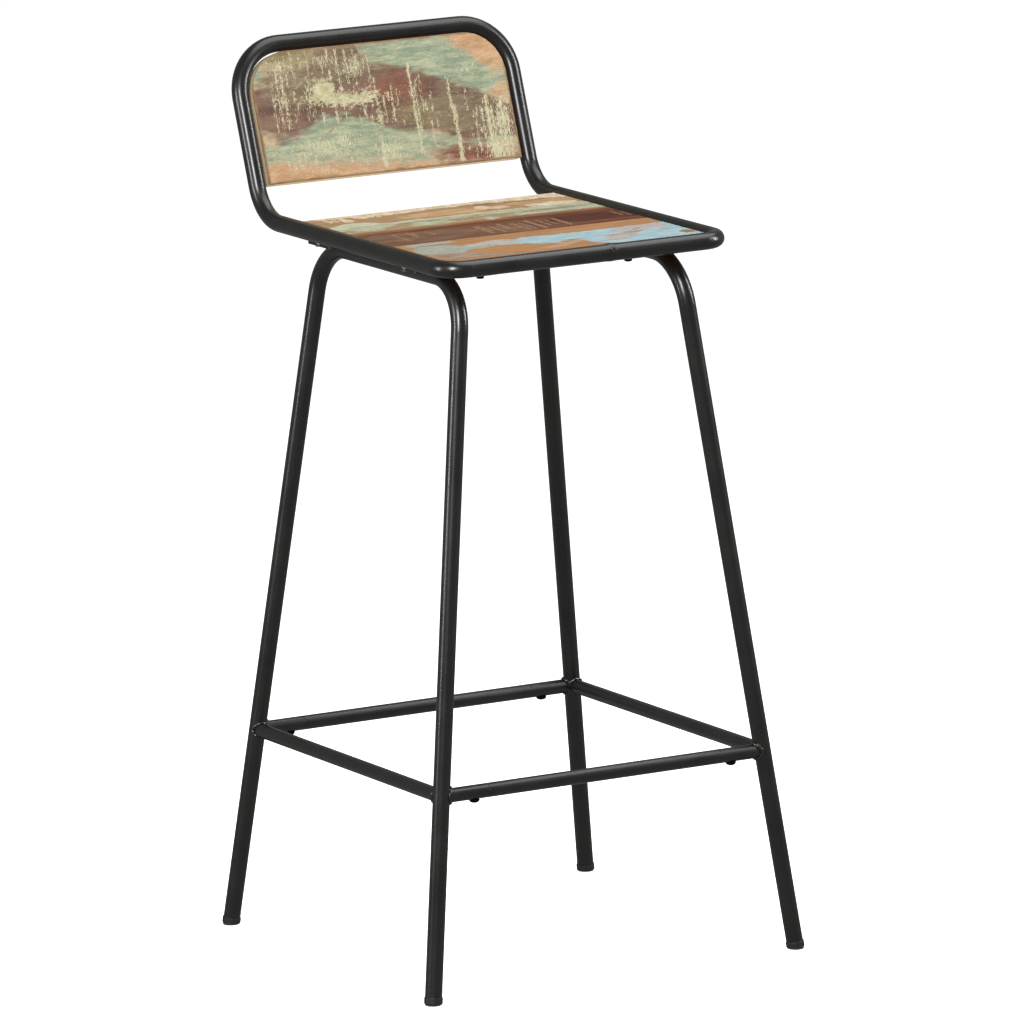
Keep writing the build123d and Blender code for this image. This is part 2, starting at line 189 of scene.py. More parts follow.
def slab(name, half_u, width, thick, corner_r, round_end, ease, step, layers, to_frame):
    """Closed plank mesh from its underside at w = 0. u runs along it and v across it, in mm.

    round_end is "low" or "high", the end in v where its two corners are rounded.
    layers gives the paint fields, each a function of u and v in mm.
    """
    rows = spaced(0, width, step)
    if corner_r:
        turn = np.linspace(0, math.pi / 2, int(corner_r / step) + 8)
        arc = corner_r * (1 - np.cos(turn))
        rows = np.concatenate([arc, rows[rows > corner_r]])
        rows = np.unique(np.round(rows if round_end == "low" else width - rows, 4))
    from_end = rows if round_end == "low" else width - rows
    short = np.clip(corner_r - from_end, 0, corner_r)
    half = half_u - corner_r + np.sqrt(corner_r**2 - short**2)
    shares = spaced(-half_u, half_u, step) / half_u
    u = half[:, None] * shares[None, :]
    v = np.repeat(rows[:, None], len(shares), axis=1)
    # Distance to the outline, which the edge rounding and the wear both follow.
    end = from_end[:, None] + 0 * u
    side = half[:, None] - abs(u)
    in_corner = (abs(u) > half_u - corner_r) & (end < corner_r)
    reach = np.hypot(abs(u) - (half_u - corner_r), corner_r - end)
    rim = np.minimum(np.minimum(side, v), width - v)
    rim = np.clip(np.where(in_corner, corner_r - reach, rim), 0, None)
    wear = ease * (1 + 0.35 * mottle(u, v, 9, 9, 5) + 0.2 * mottle(u, v, 3, 3, 6))
    inside = np.clip(wear - rim, 0, wear)
    drop = wear - np.sqrt(np.clip(wear**2 - inside**2, 0, None))
    wave = 0.12 * mottle(u, v, 60, 18, 1) + 0.07 * mottle(u, v, 14, 4, 2) - 0.19
    pits = -0.35 * np.clip(mottle(u, v, 5, 2.2, 3) - 0.72, 0, 1) / 0.28
    top = thick - drop + (wave + pits) * np.clip(rim / 1.5, 0, 1)
    low_ease = 0.8
    inside = np.clip(low_ease - rim, 0, low_ease)
    bottom = low_ease - np.sqrt(low_ease**2 - inside**2)
    n, m = u.shape
    grid = np.arange(n * m).reshape(n, m)
    top_faces = np.stack([grid[:-1, :-1], grid[:-1, 1:], grid[1:, 1:], grid[1:, :-1]], -1).reshape(-1, 4)
    low_faces = top_faces[:, ::-1] + n * m
    loop = np.concatenate([grid[0, :-1], grid[:-1, -1], grid[-1, :0:-1], grid[:0:-1, 0]])
    after = np.roll(loop, -1)
    wall = np.stack([after, loop, loop + n * m, after + n * m], -1)
    local = np.concatenate(
        [np.stack([u, v, top], -1).reshape(-1, 3), np.stack([u, v, bottom], -1).reshape(-1, 3)]
    )
    spread = to_frame(local) * MM
    mesh = bpy.data.meshes.new(name)
    mesh.from_pydata(spread.tolist(), [], np.concatenate([top_faces, low_faces, wall]).tolist())
    place = mesh.attributes.new("place", "FLOAT_VECTOR", "POINT")
    place.data.foreach_set("vector", (local * MM).astype(np.float32).ravel())
    fields = dict(layers(u, v))
    fields["rim"] = rim
    fields["face"] = 0 * u + 1
    for key, value in fields.items():
        low = 0 * value if key == "face" else value
        both = np.concatenate([value.ravel(), low.ravel()])
        mesh.attributes.new(key, "FLOAT", "POINT").data.foreach_set("value", both.astype(np.float32))
    mesh.polygons.foreach_set("use_smooth", np.ones(len(mesh.polygons), bool))
    return linked(name, mesh)


def painted_wood(name, bare, paints, tone_low=0.44, underside_shade_tone=0.22, grain=(55, 1.6), gloss=0.44):
    """Sanded old paint over wood. bare is two hex colours of the wood.

    Each paint, from the oldest coat up, is its field, a light and a dark colour, how ragged and how soft
    its edge is, and the size of its brush marks or chips along and across the plank, all in mm. tone_low
    is how far dirt in the grain darkens the paint. The argument after it is painted shade on the bare
    wood: its tone at the underside, rising to 0.85 from 3 mm above the underside.
    """
    material, tree, shader = new_material(name)
    place = add(tree, "ShaderNodeAttribute", attribute_name="place").outputs["Vector"]

    def pattern(size_u, size_v, detail, shift, rough):
        """Cloudy pattern from 0 to 1, its grains of the given size in mm along and across the plank."""
        across = 1 / (size_v * MM)
        sizes = {
            "Vector": place, "Scale": (1 / (size_u * MM), across, across),
            "Location": (shift, 2 * shift, 0)
        }
        spread = add(tree, "ShaderNodeMapping", sizes).outputs[0]
        clouds = {"Vector": spread, "Scale": 1.0, "Detail": detail, "Roughness": rough}
        return add(tree, "ShaderNodeTexNoise", clouds).outputs["Fac"]

    fibre = pattern(grain[0], grain[1], 5.0, 0.0, 0.55)
    grit = pattern(3.0, 1.1, 3.0, 5.0, 0.6)
    late_wood = {"Value": fibre, "From Min": 0.35, "From Max": 0.65}
    late_wood = add(tree, "ShaderNodeMapRange", late_wood, interpolation_type="SMOOTHSTEP").outputs["Result"]
    wood = {0: late_wood, 6: linear(bare[0]), 7: linear(bare[1])}
    wood = add(tree, "ShaderNodeMix", wood, data_type="RGBA").outputs[2]
    specks = {0: grit, 1: 2 * GRIT_MM, 2: -GRIT_MM}
    specks = add(tree, "ShaderNodeMath", specks, operation="MULTIPLY_ADD").outputs[0]
    height = add(tree, "ShaderNodeMath", {0: fibre, 1: 0.06}, operation="MULTIPLY").outputs[0]
    colour = wood
    for count, (field, light, dark, ragged, soft, size_u, size_v) in enumerate(paints):
        shape = add(tree, "ShaderNodeAttribute", attribute_name=field).outputs["Fac"]
        marks = pattern(size_u, size_v, 4.0, 3.1 * count + 1, 0.62)
        marks = add(
            tree, "ShaderNodeMath", {0: marks, 1: 2 * ragged, 2: -ragged}, operation="MULTIPLY_ADD"
        ).outputs[0]
        marks = add(tree, "ShaderNodeMath", {0: marks, 1: specks}, operation="ADD").outputs[0]
        shape = add(tree, "ShaderNodeMath", {0: shape, 1: marks}, operation="ADD").outputs[0]
        mask = {"Value": shape, "From Min": -soft, "From Max": soft}
        mask = add(tree, "ShaderNodeMapRange", mask, interpolation_type="SMOOTHSTEP").outputs["Result"]
        tone = {"Value": pattern(size_u * 2.3, size_v * 2.1, 4.0, 7.7 * count + 2, 0.65)}
        tone |= {"From Min": 0.34, "From Max": 0.66}
        tone = add(tree, "ShaderNodeMapRange", tone, interpolation_type="SMOOTHSTEP").outputs["Result"]
        tint = {0: tone, 6: linear(dark), 7: linear(light)}
        tint = add(tree, "ShaderNodeMix", tint, data_type="RGBA").outputs[2]
        colour = add(tree, "ShaderNodeMix", {0: mask, 6: colour, 7: tint}, data_type="RGBA").outputs[2]
        height = add(
            tree, "ShaderNodeMath", {0: mask, 1: 0.06, 2: height}, operation="MULTIPLY_ADD"
        ).outputs[0]
    shade = add(tree, "ShaderNodeMath", {0: grit, 1: 0.5, 2: tone_low}, operation="MULTIPLY_ADD").outputs[0]
    colour = add(tree, "ShaderNodeVectorMath", {0: colour, 3: shade}, operation="SCALE").outputs[0]
    # Painted shade: the bare wood darkens towards the underside, down to the underside tone at the bottom.
    above = add(tree, "ShaderNodeSeparateXYZ", {0: place}).outputs["Z"]
    painted_underside_shade = {"Value": above, "From Min": 0.4 * MM, "From Max": 3 * MM, "To Min": underside_shade_tone, "To Max": 0.85}
    painted_underside_shade = add(tree, "ShaderNodeMapRange", painted_underside_shade).outputs["Result"]
    wood = add(tree, "ShaderNodeVectorMath", {0: wood, 3: painted_underside_shade}, operation="SCALE").outputs[0]
    face = {"Value": add(tree, "ShaderNodeAttribute", attribute_name="face").outputs["Fac"]}
    face |= {"From Min": 0.85, "From Max": 0.98}
    face = add(tree, "ShaderNodeMapRange", face, interpolation_type="SMOOTHSTEP").outputs["Result"]
    colour = add(tree, "ShaderNodeMix", {0: face, 6: wood, 7: colour}, data_type="RGBA").outputs[2]
    height = add(tree, "ShaderNodeMath", {0: grit, 1: 0.05, 2: height}, operation="MULTIPLY_ADD").outputs[0]
    bump = add(tree, "ShaderNodeBump", {"Height": height, "Strength": 0.6, "Distance": MM})
    matt = add(tree, "ShaderNodeMapRange", {"Value": fibre, "To Min": gloss - 0.06, "To Max": gloss + 0.1})
    tree.links.new(colour, shader.inputs["Base Color"])
    tree.links.new(bump.outputs["Normal"], shader.inputs["Normal"])
    tree.links.new(matt.outputs["Result"], shader.inputs["Roughness"])
    shader.inputs["Specular IOR Level"].default_value = 0.07
    return material


# Front plank: orange-tan wood with one wavy band of light-blue paint, grey-green at its left end.
def front_layers(u, v):
    wander = 2.5 * mottle(u, v, 22, 22, 21) + 1.2 * mottle(u, v, 7, 7, 22)
    blue = between(
        u, v,
        [(-164, 70, 60), (-98, 74, 90), (-63, 78, 101), (-40, 73, 102), (-25, 63, 102), (0, 55, 102),
         (15, 57, 101), (32, 50, 101), (36, 26, 101), (60, 10, 100), (164, -8, 99)],
    )
    lilac = np.maximum(spot(u, v, -55, 96, 34, 13, -10), spot(u, v, 78, 50, 22, 12, 20))
    lilac = np.minimum(np.maximum(lilac, spot(u, v, 118, 82, 36, 15, 8)), blue + 3)
    sage = np.maximum(
        spot(u, v, -127, 86, 31, 28), np.maximum(spot(u, v, -120, 124, 30, 9), spot(u, v, -92, 76, 26, 7, 12))
    )
    beige = np.maximum(spot(u, v, -124, 42, 34, 16, -35), spot(u, v, -100, 28, 50, 6, -6))
    pink = np.maximum(spot(u, v, 16, 48, 16, 7, 20), spot(u, v, -12, 33, 12, 4))
    chips = np.maximum(spot(u, v, 106, 66, 13, 3, 5), spot(u, v, 116, 80, 9, 2, 30))
    for at_u, at_v, half_u, half_v in (
        (24, 60, 9, 3), (62, 33, 14, 2), (74, 59, 6, 2), (154, 34, 9, 9), (-30, 97, 6, 2), (12, 52, 7, 3),
        (140, 60, 8, 2),
    ):
        chips = np.maximum(chips, spot(u, v, at_u, at_v, half_u, half_v))
    crack = stroke(u, v, (-137, 116), (-96, 116), 1.2)
    return {"blue": blue + wander, "lilac": lilac + wander, "sage": sage + wander, "beige": beige + wander,
            "pink": pink + wander, "chips": chips + 0.3 * wander, "crack": crack}


SEAT_STEP = 1.5
seat_low, seat_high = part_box("seat_plank_front")
seat_thick = (seat_high.z - seat_low.z) / MM
front_corner_r = 14.5
finishes = {}


def lay_plank(name, layers, corner_r=0.0):
    """Make a seat plank in the place of its solid."""
    low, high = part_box(f"seat_plank_{name}")
    origin = np.array([0, low.y, low.z]) / MM
    piece = slab(
        f"plank_{name}", high.x / MM, (high.y - low.y) / MM, seat_thick, corner_r, "low", 1.1, SEAT_STEP,
        layers,
        lambda p: p + origin,
    )
    piece.data.materials.append(finishes[name])
    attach(piece, "root")
    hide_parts(f"seat_plank_{name}")
    return piece


finishes["front"] = painted_wood(
    "reclaimed_plank_light_blue",
    ("#9b7048", "#b3855a"),
    [
        ("blue", "#a9c4c9", "#93adb4", 5.0, 0.9, 10, 3),
        ("lilac", "#bdb1a9", "#a49a95", 9.0, 1.0, 6, 2),
        ("sage", "#aaab9b", "#92948a", 6.0, 1.2, 6, 3),
        ("beige", "#a39382", "#857567", 7.0, 2.0, 12, 4),
        ("pink", "#c0a083", "#a98a6d", 9.0, 1.5, 6, 3),
        ("chips", "#a5835f", "#7f6248", 7.0, 0.8, 5, 2),
        ("crack", "#7d6c5a", "#67584a", 2.0, 0.6, 8, 1.5),
    ],
)
lay_plank("front", front_layers, front_corner_r)


# Second plank: dark chestnut stain with pale scratches across it near the middle.
def second_layers(u, v):
    wander = 3 * mottle(u, v, 26, 16, 31)
    scratches = -9 + 0 * u
    for at_u, low, high, half in (
        (-25, 14, 58, 1.4), (-19, 20, 60, 0.9), (-10, 12, 50, 1.2), (0, 20, 52, 0.8), (5, 16, 58, 1.2),
        (15, 24, 50, 0.9),
        (20, 8, 55, 1.1), (28, 10, 52, 1.0), (40, 10, 60, 2.0), (52, 20, 56, 1.2), (61, 22, 50, 0.9),
        (73, 12, 56, 1.8),
        (-125, 20, 66, 1.0), (-106, 40, 66, 1.2), (-102, 44, 62, 0.8), (-83, 38, 62, 0.9),
        (150, 30, 60, 1.0), (158, 26, 52, 0.8),
    ):
        scratches = np.maximum(scratches, stroke(u, v, (at_u, low), (at_u + 1.5, high), half))
    return {
        "red": np.maximum(
            between(u, v, [(-164, 74, 90), (20, 66, 90), (164, 60, 90)]), spot(u, v, 120, 3, 70, 7)
        ) + wander,
        "plum": spot(u, v, 118, 44, 62, 26) + 2 * wander,
        "worn": np.maximum(spot(u, v, -105, 42, 70, 34), spot(u, v, -8, 22, 30, 18)) + 3 * wander,
        "scratches": scratches,
    }


finishes["second"] = painted_wood(
    "reclaimed_plank_chestnut",
    ("#61402f", "#754f3b"),
    [
        ("worn", "#7d604c", "#694a38", 12.0, 4.0, 30, 6),
        ("plum", "#5a3020", "#4a2618", 9.0, 4.0, 30, 6),
        ("red", "#703f27", "#58301e", 6.0, 2.0, 30, 4),
        ("scratches", "#b08f6c", "#8f6f54", 5.0, 0.6, 1.3, 4),
    ],
)
lay_plank("second", second_layers)


# Third plank: mint paint in streaks along the grain, worn to brown wood along its front edge.
def third_layers(u, v):
    wander = 1.5 * mottle(u, v, 30, 7, 41)
    mint = np.maximum(between(u, v, [(-164, 34, 60), (164, 36, 60)]), spot(u, v, -124, 38, 24, 18))
    mint = np.maximum(
        mint,
        np.maximum(spot(u, v, 22, 17, 9, 9), between(u, v, [(54, 20, 22), (58, 14, 32), (160, 10, 33)]))
    )
    mint = np.maximum(mint, spot(u, v, -50, 25, 28, 9))
    green = np.maximum(spot(u, v, -75, 40, 14, 4), spot(u, v, -44, 42, 13, 3))
    green = np.maximum(green, np.maximum(spot(u, v, 110, 30, 40, 3), spot(u, v, 5, 40, 22, 2.5)))
    rust = between(u, v, [(-164, -5, 13), (-40, -5, 9), (60, -5, 10), (164, -5, 8)])
    return {"mint": mint + wander, "green": green + wander, "rust": rust + wander}


finishes["third"] = painted_wood(
    "reclaimed_plank_mint",
    ("#937656", "#a98a68"),
    [
        ("rust", "#8d6445", "#765138", 5.0, 1.5, 24, 3),
        ("mint", "#bdc1a8", "#97977b", 9.0, 0.8, 8, 1.8),
        ("green", "#928c70", "#7e7c60", 5.0, 1.0, 14, 2),
    ],
)
lay_plank("third", third_layers)


# Rear plank: cream paint peeling off ochre wood, thickest along the rear edge.
def rear_layers(u, v):
    wander = 2.5 * mottle(u, v, 9, 12, 51)
    peel = between(
        u, v, [(-164, 66, 90), (-60, 47, 90), (-30, 50, 90), (60, 54, 90), (100, 48, 90), (164, 34, 90)]
    )
    for at_u, low, half in (
        (-139, 36, 2.5), (-130, 40, 2.0), (-119, 34, 5.5), (-96, 46, 6.0), (-84, 50, 5.0), (-76, 44, 3.0)
    ):
        peel = np.maximum(peel, stroke(u, v, (at_u, low), (at_u + 1, 70), half))
    peel = np.maximum(peel, np.maximum(spot(u, v, 128, 9, 32, 9), spot(u, v, 47, 30, 8, 8)))
    return {
        "tan": np.maximum(spot(u, v, 0, 22, 60, 15), spot(u, v, 118, 27, 46, 12)) + wander,
        "dark": np.maximum(spot(u, v, 60, 45, 14, 5), spot(u, v, 118, 41, 34, 3)) + 0.6 * wander,
        "pink": spot(u, v, 57, 22, 20, 8, -15) + wander,
        "mint": np.maximum(
            spot(u, v, -126, 6, 30, 16), between(u, v, [(-164, -5, 3), (164, -5, 2)])
        ) + wander,
        "peel": peel + wander,
    }


finishes["rear"] = painted_wood(
    "reclaimed_plank_cream",
    ("#957858", "#a98a68"),
    [
        ("tan", "#c6a47c", "#b08c64", 8.0, 3.0, 26, 4),
        ("pink", "#dabd9f", "#c6a88a", 6.0, 1.0, 8, 4),
        ("mint", "#c6c2a8", "#b0ac90", 5.0, 1.0, 12, 3),
        ("peel", "#e2cfb4", "#c6b091", 8.0, 0.7, 3, 7),
        ("dark", "#917556", "#7c6247", 5.0, 1.0, 12, 3),
    ],
)
lay_plank("rear", rear_layers)


# Back board: maroon, teal and cream coats sanded through in bands, with pale saw scratches across them.
def board_layers(u, v):
    wander = 3.0 * mottle(u, v, 34, 18, 61) + 2.0 * mottle(u, v, 11, 7, 62)
    maroon = between(
        u, v,
        [(-164, 62, 108), (-148, 52, 112), (-140, 47, 116), (-118, 52, 118), (-95, 60, 122), (-72, 66, 150),
         (-50, 66, 160), (-27, 62, 158), (-20, 60, 134), (-10, 54, 126), (7, 48, 120), (30, 46, 114),
         (63, 40, 103), (98, 24, 90), (125, 24, 80), (150, 24, 64), (162, 24, 60)],
    )
    khaki = np.maximum(spot(u, v, -112, 144, 40, 12), spot(u, v, 62, 60, 42, 15, -8))
    grey = np.maximum(spot(u, v, -112, 108, 38, 20), spot(u, v, 95, 60, 34, 18))
    grey = np.maximum(grey, np.maximum(spot(u, v, -62, 118, 30, 20), spot(u, v, -28, 128, 30, 14, -20)))
    teal = np.maximum(
        between(u, v, [(-148, 26, 40), (-125, 22, 62), (-100, 20, 74), (-75, 20, 80), (-50, 20, 80),
                       (-35, 18, 74), (-12, 14, 62), (15, 10, 54), (40, 10, 50), (54, 18, 34)]),
        between(u, v, [(-70, 146, 150), (-50, 128, 150), (-20, 118, 150), (10, 110, 150), (40, 100, 150),
                       (80, 90, 150), (112, 78, 128), (130, 72, 112), (150, 86, 98)]),
    )
    teal = np.maximum(teal, np.maximum(spot(u, v, -158, 70, 8, 12), spot(u, v, -156, 122, 7, 16)))
    orange = np.maximum(
        between(
            u, v,
            [
                (-164, -5, 24), (-120, -5, 17), (-70, -5, 15), (-20, -5, 8), (20, -5, 14), (40, -5, 8),
                (60, -9, -2)
            ]
        ),
        np.maximum(spot(u, v, 136, 124, 32, 18, -20), spot(u, v, 142, 88, 28, 16)),
    )
    orange = np.maximum(
        orange, between(u, v, [(-40, 147, 150), (0, 144, 150), (80, 142, 150), (164, 110, 150)])
    )
    red = np.maximum(spot(u, v, 104, 10, 46, 12, -6), spot(u, v, 14, 92, 32, 16))
    patch = np.maximum(
        np.maximum(spot(u, v, -52, 87, 44, 7, -3), spot(u, v, -18, 88, 18, 4)),
        np.maximum(spot(u, v, -74, 98, 15, 13, 30), stroke(u, v, (-9, 86), (-8, 56), 2.4)),
    )
    scratches = -30 + 0 * u
    long_ones = (
        (-139, 58, 102, 0.2), (-131, 60, 126, 0.4), (-124, 60, 134, 0.7), (-117, 96, 140, 0.1),
        (-108, 108, 148, 0.5),
        (-98, 126, 142, 0.3), (-92, 88, 112, 0.2), (-89, 100, 146, 0.1), (-79, 60, 84, 0.3),
        (-62, 60, 120, 0.6),
        (-62, 134, 147, 0.7), (-51, 64, 142, 0.4), (-40, 120, 142, 0.3), (-29, 112, 140, 0.2),
        (-12, 100, 132, 0.4),
        (-12, 8, 42, 2.2), (-1, 56, 84, 0.4), (10, 56, 76, 0.6), (5, 20, 34, 0.5), (37, 16, 118, 1.4),
        (41, 40, 92, 0.8),
        (48, 62, 106, 0.1), (55, 24, 52, 0.1), (59, 62, 84, 0.3), (84, 60, 99, 1.0), (86, 4, 66, 1.9),
        (112, 12, 54, 0.4),
        (104, 60, 84, 0.0), (121, 16, 60, 0.5), (128, 2, 72, 2.0), (133, -4, 60, 1.2), (140, -4, 50, 0.6),
        (146, 2, 66, 1.6), (151, 2, 60, 1.0),
    )
    for at_u, low, high, half in long_ones:
        scratches = np.maximum(scratches, stroke(u, v, (at_u, low), (at_u + 0.6, high), half))
    dice = np.random.default_rng(77)
    for low_u, high_u, low_v, high_v, count in (
        (-140, -80, 70, 134, 34), (-80, -8, 96, 138, 26), (-135, 16, 16, 44, 44), (-40, 72, 48, 100, 26),
        (96, 156, 8, 72, 40),
    ):
        for _ in range(count):
            at_u, at_v = dice.uniform(low_u, high_u), dice.uniform(low_v, high_v)
            tall = dice.uniform(3, 15)
            half = dice.uniform(-0.6, 0.5)
            scratches = np.maximum(scratches, stroke(u, v, (at_u, at_v - tall), (at_u + 0.4, at_v), half))
    pale = -17 + 0 * u
    for at_u, at_v, half_u, half_v, level in (
        (134, 14, 30, 30, 9), (145, 46, 14, 30, 5), (-85, 34, 60, 22, 3), (-5, 24, 30, 18, 3),
        (-60, 40, 26, 18, 4),
        (-126, 130, 26, 20, 0), (-30, 122, 40, 22, 1), (-125, 90, 34, 40, -6), (-70, 132, 44, 16, -3),
        (110, 104, 24, 14, -4), (66, 118, 40, 22, -8), (-62, 90, 40, 14, 0), (60, 58, 60, 26, -8),
    ):
        pale = np.maximum(pale, haze(u, v, at_u, at_v, half_u, half_v, level))
    specks = -34 + 0 * u
    for at_u, at_v, half_u, half_v, level in (
        (-36, 116, 44, 26, -7), (14, 66, 50, 24, -13), (-125, 96, 44, 40, -13), (100, 112, 50, 20, -14),
        (-50, 34, 80, 20, -9), (50, 70, 90, 50, -16),
    ):
        specks = np.maximum(specks, haze(u, v, at_u, at_v, half_u, half_v, level))
    lines = np.maximum(
        stroke(u, v, (-116, 98), (-89, 118), 0.7),
        np.maximum(stroke(u, v, (-48, 72), (-14, 99), 1.0), stroke(u, v, (-88, 41), (-58, 66), 1.0)),
    )
    worn_rim = 2.2  # how far in from the board's outline its paint is rubbed off
    board_half = 162
    edge = worn_rim - np.minimum(np.minimum(board_half - abs(u), v), board_h - v)
    return {
        "orange": orange + wander, "teal": teal + wander, "maroon": maroon + wander, "khaki": khaki + wander,
        "grey": grey + 2 * wander, "red": red + wander, "patch": patch + 0.5 * wander, "scratches": scratches,
        "haze": pale, "specks": specks, "lines": lines, "edge": edge,
    }


LEAN = math.radians(19.4)
board_thick = 16.0
board_low, board_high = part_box("back_board")
board_h = (board_high.z - board_low.z - board_thick * MM * math.sin(LEAN)) / math.cos(LEAN) / MM
board_corner_r = 49.0
up_board = np.array([0, math.sin(LEAN), math.cos(LEAN)])
off_board = np.array([0, -math.cos(LEAN), math.sin(LEAN)])
board_foot = np.array([0, board_low.y / MM + board_thick * math.cos(LEAN), board_low.z / MM])


def board_place(p):
    return board_foot + p[:, :1] * [1, 0, 0] + p[:, 1:2] * up_board + p[:, 2:] * off_board


back_board = slab(
    "board_back", board_high.x / MM, board_h, board_thick, board_corner_r, "high", 1.2, 1.3, board_layers,
    board_place
)
finishes["board"] = painted_wood(
    "reclaimed_board_sanded_paint",
    ("#b09c7e", "#c2ae8e"),
    [
        ("orange", "#cda985", "#b48d68", 16.0, 7.0, 14, 5),
        ("teal", "#b1b393", "#85937d", 20.0, 7.0, 12, 3),
        ("maroon", "#876b5c", "#665044", 14.0, 6.0, 22, 6),
        ("khaki", "#988a68", "#7c6e4c", 20.0, 9.0, 20, 6),
        ("grey", "#8f8069", "#776852", 26.0, 10.0, 18, 5),
        ("red", "#8e6150", "#7a5042", 18.0, 8.0, 16, 5),
        ("lines", "#a8967f", "#978571", 2.5, 0.8, 6, 3),
        ("haze", "#d2cdab", "#bfb996", 46.0, 4.0, 1.0, 5),
        ("specks", "#cfc9a6", "#bfb893", 60.0, 5.0, 1.8, 1.4),
        ("patch", "#cbc6a2", "#b0a880", 12.0, 2.5, 5, 3),
        ("scratches", "#cfc8a6", "#bbb490", 8.0, 0.7, 0.9, 4.5),
        ("edge", "#9c8060", "#84684c", 3.0, 1.2, 14, 4),
    ],
    tone_low=0.33,
    underside_shade_tone=0.8,
)
back_board.data.materials.append(finishes["board"])
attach(back_board, "root")
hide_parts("back_board")

# ---- Weld beads on the leg frames and the seat loop ----
# Each footrest tube is welded all round where it runs into a leg, each plate along both
# sides of its top bar, and each tab along its root; the powder lies thick over the beads.
rest_low, rest_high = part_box("footrest_rail_front")
rest_z = (rest_low.z + rest_high.z) / 2
rail_r = (rest_high.z - rest_low.z) / 2
leg_low, leg_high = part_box("leg_frame_right")
tube_r = 9.5 * MM
bar_x, bar_z = leg_low.x + tube_r, leg_high.z - tube_r
leg_comes_in = 74.5 * MM  # from a foot to the bend above it, along Y
mounts = {m["name"]: Vector(m["pos_m"]) for m in frame["record"]["mounts"]}


def leg_line(foot):
    """Foot and unit direction of a leg's centreline."""
    inward = -1 if foot.y > 0 else 1
    head = Vector((math.copysign(bar_x, foot.x), foot.y + inward * leg_comes_in, bar_z))
    return foot, (head - foot).normalized()


def weld_ring(foot, toward, lap):
    """Closed line round a rail where it meets a leg, lap outside both of their surfaces."""
    start, up = leg_line(foot)
    corner = start + up * (rest_z / up.z)
    along = Vector(toward)
    side = along.cross(Vector((0, 0, 1)))
    flat = along - along.dot(up) * up
    ring, ring_steps = [], 48
    for step in range(ring_steps):
        turn = 2 * math.pi * step / ring_steps
        around = (math.cos(turn) * side + math.sin(turn) * Vector((0, 0, 1))) * (rail_r + lap)
        off = around - around.dot(up) * up
        a, b, c = flat.length_squared, off.dot(flat), off.length_squared - (tube_r + lap) ** 2
        reach = (-b + math.sqrt(max(b * b - a * c, 0))) / a
        ring.append(corner + around + along * reach)
    return ring


def line_set(name, lines):
    """Mesh of plain edges; each line is its points and whether it closes on itself."""
    points, edges = [], []
    for line, closed in lines:
        first = len(points)
        points += [tuple(p) for p in line]
        edges += [(first + i, first + i + 1) for i in range(len(line) - 1)]
        if closed:
            edges.append((first + len(line) - 1, first))
    mesh = bpy.data.meshes.new(name)
    mesh.from_pydata(points, edges, [])
    return linked(name, mesh)


def new_tree(name, sockets):
    """A Geometry Nodes tree with its named inputs, and its group input and output."""
    tree = bpy.data.node_groups.new(name, "GeometryNodeTree")
    tree.interface.new_socket("Geometry", in_out="OUTPUT", socket_type="NodeSocketGeometry")
    tree.interface.new_socket("Geometry", in_out="INPUT", socket_type="NodeSocketGeometry")
    for label, kind in sockets:
        tree.interface.new_socket(label, in_out="INPUT", socket_type="NodeSocket" + kind)
    return tree, tree.nodes.new("NodeGroupInput").outputs, tree.nodes.new("NodeGroupOutput").inputs


def grown(made, tree, values):
    """Run a Geometry Nodes tree on an object and keep its result as a plain mesh."""
    modifier = made.modifiers.new(tree.name, "NODES")
    modifier.node_group = tree
    for item in tree.interface.items_tree:
        if item.item_type == "SOCKET" and item.in_out == "INPUT" and item.name in values:
            modifier[item.identifier] = values[item.name]
    now = bpy.context.evaluated_depsgraph_get()
    mesh = bpy.data.meshes.new_from_object(made.evaluated_get(now), depsgraph=now)
    mesh.name = made.name
    made.modifiers.clear()
    made.data = mesh
    return made


bead_tree, given, kept = new_tree(
    "weld_bead", [("Radius", "Float"), ("Ripple", "Float"), ("Seed", "Float"), ("Finish", "Material")]
)
curve = add(bead_tree, "GeometryNodeMeshToCurve", {"Mesh": given["Geometry"]})
curve = add(
    bead_tree, "GeometryNodeResampleCurve", {"Curve": curve.outputs[0], "Length": 0.7 * MM}, mode="LENGTH"
)
spot_at = add(bead_tree, "GeometryNodeInputPosition").outputs[0]
lumps = add(
    bead_tree,
    "ShaderNodeTexNoise",
    {"Vector": spot_at, "W": given["Seed"], "Scale": 1 / (3.2 * MM), "Detail": 2.0},
    noise_dimensions="4D",
)
rough = add(
    bead_tree, "ShaderNodeMath", {0: lumps.outputs[0], 1: given["Ripple"], 2: 1.0},
    operation="MULTIPLY_ADD"
)
less = add(bead_tree, "ShaderNodeMath", {0: given["Ripple"], 1: 0.5}, operation="MULTIPLY")
even = add(bead_tree, "ShaderNodeMath", {0: rough.outputs[0], 1: less.outputs[0]}, operation="SUBTRACT")
thick = add(bead_tree, "ShaderNodeMath", {0: even.outputs[0], 1: given["Radius"]}, operation="MULTIPLY")
curve = add(bead_tree, "GeometryNodeSetCurveRadius", {"Curve": curve.outputs[0], "Radius": thick.outputs[0]})
round_wire = add(
    bead_tree, "GeometryNodeCurvePrimitiveCircle", {"Resolution": 12, "Radius": 1.0}, mode="RADIUS"
)
wire = {"Curve": curve.outputs[0], "Profile Curve": round_wire.outputs[0], "Fill Caps": True}
body = add(bead_tree, "GeometryNodeCurveToMesh", wire)
if "Scale" in body.inputs:
    bead_tree.links.new(thick.outputs[0], body.inputs["Scale"])
body = add(bead_tree, "GeometryNodeRealizeInstances", {0: body.outputs[0]})
body = add(bead_tree, "GeometryNodeSetMaterial", {"Geometry": body.outputs[0], "Material": given["Finish"]})
bead_tree.links.new(body.outputs[0], kept["Geometry"])

